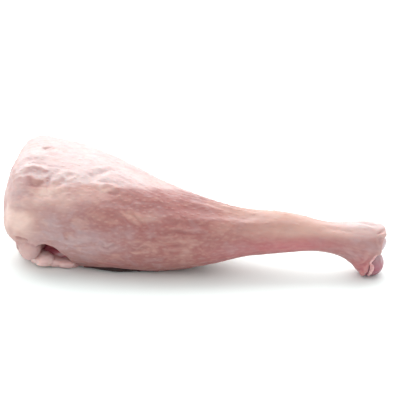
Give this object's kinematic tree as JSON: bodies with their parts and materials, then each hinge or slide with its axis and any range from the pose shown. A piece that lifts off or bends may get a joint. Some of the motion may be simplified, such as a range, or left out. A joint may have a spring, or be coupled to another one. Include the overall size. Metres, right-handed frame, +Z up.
{
  "type": "raw goose leg",
  "caption": "Raw poultry leg with the skin on: a broad thigh that tapers along the drumstick to a narrow shank and a knobbly hock, lying flat with the skin side up.",
  "frame": {"origin": "on the table under the middle of the leg's bounding box", "axes": "+X from the knee end along the drumstick to the hock, +Y from the drumstick to the far side of the thigh, +Z up from the table to the skin side"},
  "size_m": [0.2122, 0.1062, 0.0602],
  "materials": {
    "skin": "satin",
    "muscle": "gloss",
    "fat": "satin",
    "cartilage": "gloss"
  },
  "bodies": {
    "root": {"leg": "skin", "thigh_muscle": "muscle", "fat_fold": "fat", "hock_knuckle": "cartilage"}
  },
  "joints": []
}
